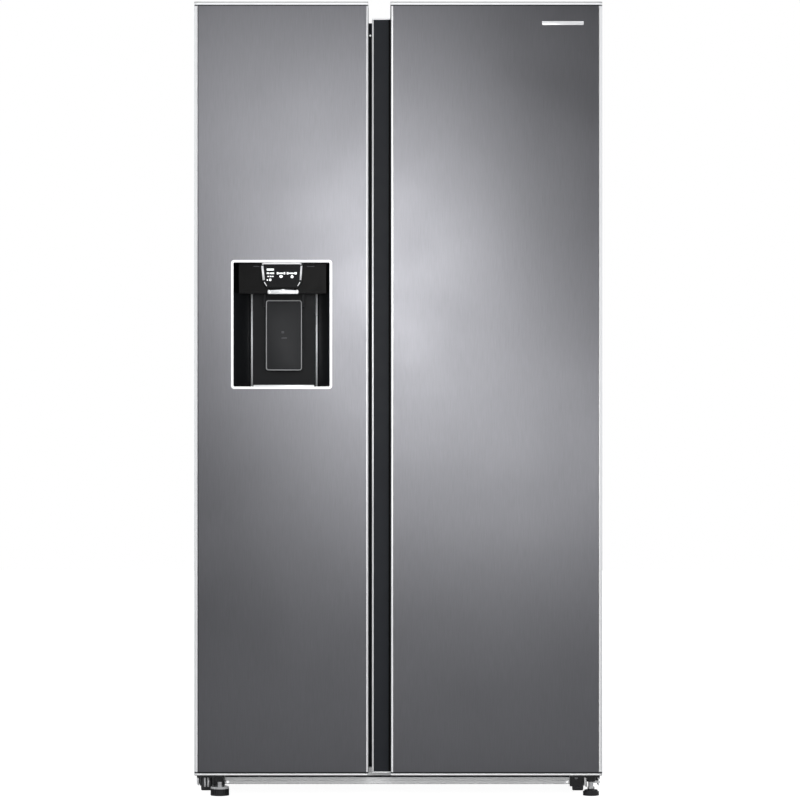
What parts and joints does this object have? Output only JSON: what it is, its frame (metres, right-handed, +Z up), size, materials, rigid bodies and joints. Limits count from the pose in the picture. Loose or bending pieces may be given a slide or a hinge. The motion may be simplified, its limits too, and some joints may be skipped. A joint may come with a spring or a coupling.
{
  "type": "side by side refrigerator",
  "caption": "Two-door freezer and fridge cabinet with a water and ice dispenser in the left door, recessed grip channel, shelves, drawers, door bins, rollers and levelling feet.",
  "frame": {"origin": "on the floor under the middle of the closed cabinet's bounding box", "axes": "+Z up, the doors face -Y, +X to the right as seen from the front"},
  "size_m": [0.912, 0.716, 1.78],
  "materials": {
    "case_paint": "satin",
    "galvanised": "satin",
    "foam": "matte",
    "liner_white": "satin",
    "dark_plastic": "satin",
    "grey_plastic": "matte",
    "black_steel": "satin",
    "hinge_steel": "satin",
    "coil": "satin",
    "circuit": "satin",
    "valve_blue": "satin",
    "clear": "gloss",
    "clear_plastic": "gloss",
    "fan_plastic": "matte",
    "roller_plastic": "matte",
    "foot_plastic": "satin",
    "inox": "satin",
    "seal": "matte",
    "cap_silver": "satin",
    "gloss_black": "gloss",
    "frame_silver": "satin",
    "console_grey": "satin",
    "lever_grey": "gloss"
  },
  "bodies": {
    "cabinet": {"cabinet_shell": "case_paint", "back_panel": "galvanised", "cabinet_insulation": "foam", "freezer_liner": "liner_white", "fridge_liner": "liner_white", "mullion_cover": "dark_plastic", "base_chassis": "galvanised", "toe_rail": "grey_plastic", "leg_brackets": "black_steel", "top_hinges": "hinge_steel", "hinge_covers": "grey_plastic", "machine_cover": "galvanised", "compressor": "black_steel", "condenser": "black_steel", "drain_pan": "grey_plastic", "freezer_duct_cover": "liner_white", "fridge_duct_cover": "liner_white", "evaporators": "coil", "control_module": "circuit", "cord_gland": "dark_plastic", "water_valve": "valve_blue", "freezer_shelf_1": "clear", "freezer_shelf_2": "clear", "freezer_shelf_3": "clear", "fridge_shelf_1": "clear", "fridge_shelf_2": "clear", "fridge_shelf_3": "clear"},
    "freezer_door": {"freezer_door_skin": "inox", "freezer_door_foam": "foam", "freezer_door_liner": "liner_white", "freezer_door_gasket": "seal", "freezer_door_end_caps": "cap_silver", "freezer_door_grip": "dark_plastic", "freezer_door_bins": "clear_plastic", "ice_bucket": "clear_plastic", "dispenser_housing": "gloss_black", "dispenser_frame": "frame_silver", "dispenser_console": "console_grey", "drip_tray": "frame_silver"},
    "fridge_door": {"fridge_door_skin": "inox", "fridge_door_foam": "foam", "fridge_door_liner": "liner_white", "fridge_door_gasket": "seal", "fridge_door_end_caps": "cap_silver", "fridge_door_grip": "dark_plastic", "fridge_door_bins": "clear_plastic"},
    "freezer_drawer_lower": {"freezer_drawer_lower": "clear_plastic"},
    "freezer_drawer_upper": {"freezer_drawer_upper": "clear_plastic"},
    "crisper_lower": {"crisper_lower": "clear_plastic"},
    "crisper_upper": {"crisper_upper": "clear_plastic"},
    "condenser_fan": {"condenser_fan": "fan_plastic"},
    "freezer_fan": {"freezer_fan": "fan_plastic"},
    "fridge_fan": {"fridge_fan": "fan_plastic"},
    "front_roller_left": {"front_roller_left": "roller_plastic"},
    "front_roller_right": {"front_roller_right": "roller_plastic"},
    "rear_roller_left": {"rear_roller_left": "roller_plastic"},
    "rear_roller_right": {"rear_roller_right": "roller_plastic"},
    "levelling_foot_left": {"levelling_foot_left": "foot_plastic"},
    "levelling_foot_right": {"levelling_foot_right": "foot_plastic"},
    "dispenser_lever": {"dispenser_lever": "lever_grey"}
  },
  "joints": [
    {"name": "freezer_door_hinge", "type": "hinge", "parent": "cabinet", "child": "freezer_door", "pos_m": [-0.442, -0.316, 0.9], "axis": [0, 0, -1], "range_deg": [0, 120]},
    {"name": "fridge_door_hinge", "type": "hinge", "parent": "cabinet", "child": "fridge_door", "pos_m": [0.442, -0.316, 0.9], "axis": [0, 0, 1], "range_deg": [0, 120]},
    {"name": "freezer_drawer_lower_slide", "type": "slide", "parent": "cabinet", "child": "freezer_drawer_lower", "axis": [0, -1, 0], "range_m": [0, 0.195]},
    {"name": "freezer_drawer_upper_slide", "type": "slide", "parent": "cabinet", "child": "freezer_drawer_upper", "axis": [0, -1, 0], "range_m": [0, 0.25]},
    {"name": "crisper_lower_slide", "type": "slide", "parent": "cabinet", "child": "crisper_lower", "axis": [0, -1, 0], "range_m": [0, 0.195]},
    {"name": "crisper_upper_slide", "type": "slide", "parent": "cabinet", "child": "crisper_upper", "axis": [0, -1, 0], "range_m": [0, 0.25]},
    {"name": "dispenser_lever_pivot", "type": "hinge", "parent": "freezer_door", "child": "dispenser_lever", "pos_m": [-0.2575, -0.2995, 1.108], "axis": [1, 0, 0], "range_deg": [0, 5.5], "stiffness_Nm_per_rad": 1.2, "springref_deg": -14.32},
    {"name": "condenser_fan_spin", "type": "hinge", "parent": "cabinet", "child": "condenser_fan", "pos_m": [0.06, 0.258, 0.165], "axis": [1, 0, 0], "continuous": true},
    {"name": "freezer_fan_spin", "type": "hinge", "parent": "cabinet", "child": "freezer_fan", "pos_m": [-0.2516, 0.244, 0.7], "axis": [0, 1, 0], "continuous": true},
    {"name": "fridge_fan_spin", "type": "hinge", "parent": "cabinet", "child": "fridge_fan", "pos_m": [0.1884, 0.244, 0.7], "axis": [0, 1, 0], "continuous": true},
    {"name": "front_roller_left_spin", "type": "hinge", "parent": "cabinet", "child": "front_roller_left", "pos_m": [-0.436, -0.226, 0.022], "axis": [1, 0, 0], "continuous": true},
    {"name": "front_roller_right_spin", "type": "hinge", "parent": "cabinet", "child": "front_roller_right", "pos_m": [0.408, -0.226, 0.022], "axis": [1, 0, 0], "continuous": true},
    {"name": "rear_roller_left_spin", "type": "hinge", "parent": "cabinet", "child": "rear_roller_left", "pos_m": [-0.432, 0.306, 0.02], "axis": [1, 0, 0], "continuous": true},
    {"name": "rear_roller_right_spin", "type": "hinge", "parent": "cabinet", "child": "rear_roller_right", "pos_m": [0.432, 0.306, 0.02], "axis": [1, 0, 0], "continuous": true},
    {"name": "levelling_foot_left_travel", "type": "slide", "parent": "cabinet", "child": "levelling_foot_left", "axis": [0, 0, -1], "range_m": [0, 0.012]},
    {"name": "levelling_foot_right_travel", "type": "slide", "parent": "cabinet", "child": "levelling_foot_right", "axis": [0, 0, -1], "range_m": [0, 0.012]}
  ],
  "couplings": [
    {"joint": "freezer_drawer_lower_slide", "follows": "freezer_door_hinge", "m_per_rad": 0.093},
    {"joint": "freezer_drawer_upper_slide", "follows": "freezer_door_hinge", "m_per_rad": 0.119},
    {"joint": "crisper_lower_slide", "follows": "fridge_door_hinge", "m_per_rad": 0.093},
    {"joint": "crisper_upper_slide", "follows": "fridge_door_hinge", "m_per_rad": 0.119}
  ]
}
